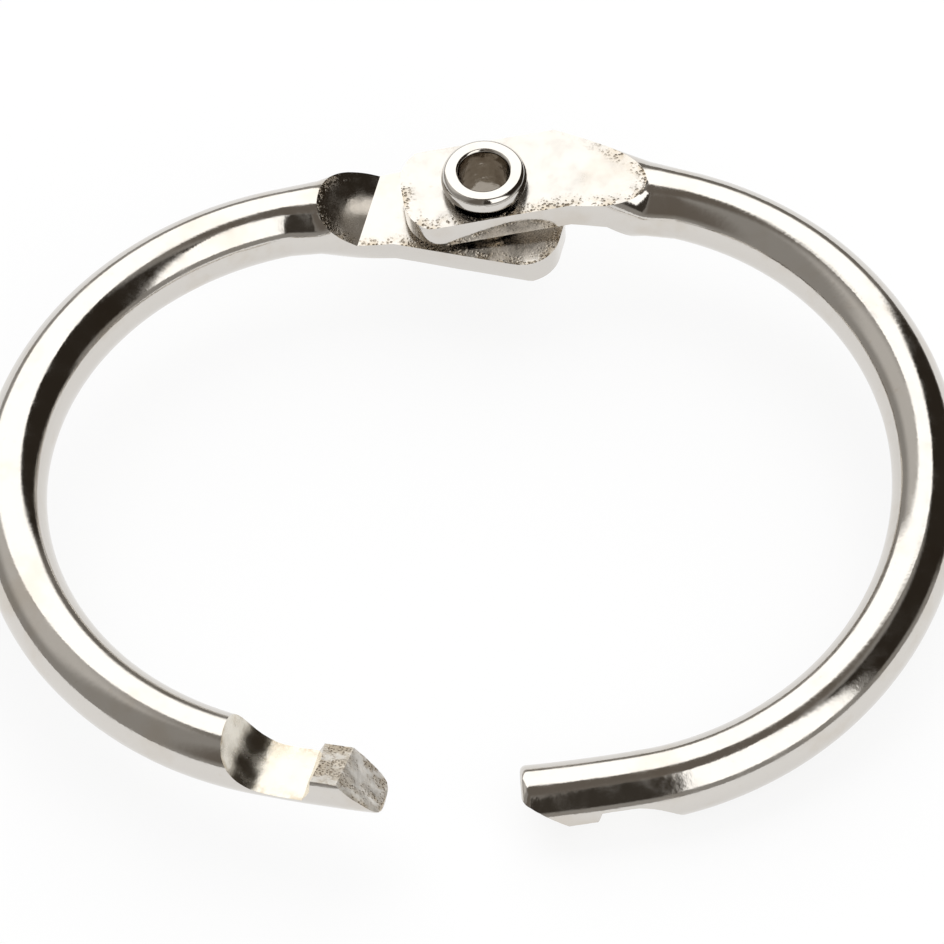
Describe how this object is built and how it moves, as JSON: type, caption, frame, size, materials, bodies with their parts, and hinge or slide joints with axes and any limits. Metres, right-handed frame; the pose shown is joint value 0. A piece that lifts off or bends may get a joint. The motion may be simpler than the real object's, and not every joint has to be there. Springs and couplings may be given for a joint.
{
  "type": "binder ring",
  "caption": "Hinged loose-leaf binder ring: plated wire halves that swing on a hollow rivet and hook together at their tips.",
  "frame": {"origin": "on the rivet's axis, midway between the two lugs", "axes": "+Z along the rivet's axis, up out of the upper lug; -Y from the rivet towards the mouth between the two tips; +X towards the half with the upper lug"},
  "size_m": [0.0414, 0.0339, 0.0073],
  "materials": {
    "plated_wire": "bright nickel plate on steel wire, slightly mottled, rough where it was sheared",
    "plated_rivet": "bright nickel plate on a rolled tube"
  },
  "bodies": {
    "left_half": {"left_half_ring": "plated_wire"},
    "rivet": {"hollow_rivet": "plated_rivet"},
    "right_half": {"right_half_ring": "plated_wire"}
  },
  "joints": [
    {"name": "swing", "type": "hinge", "parent": "left_half", "child": "rivet", "pos_m": [0, 0, 0], "axis": [0, 0, 1], "range_deg": [-22.4, 110]},
    {"name": "rock", "type": "hinge", "parent": "rivet", "child": "right_half", "pos_m": [-0.00051, -0.00256, 0], "axis": [-0.981, 0.1942, 0], "range_deg": [0, 8.55]}
  ]
}
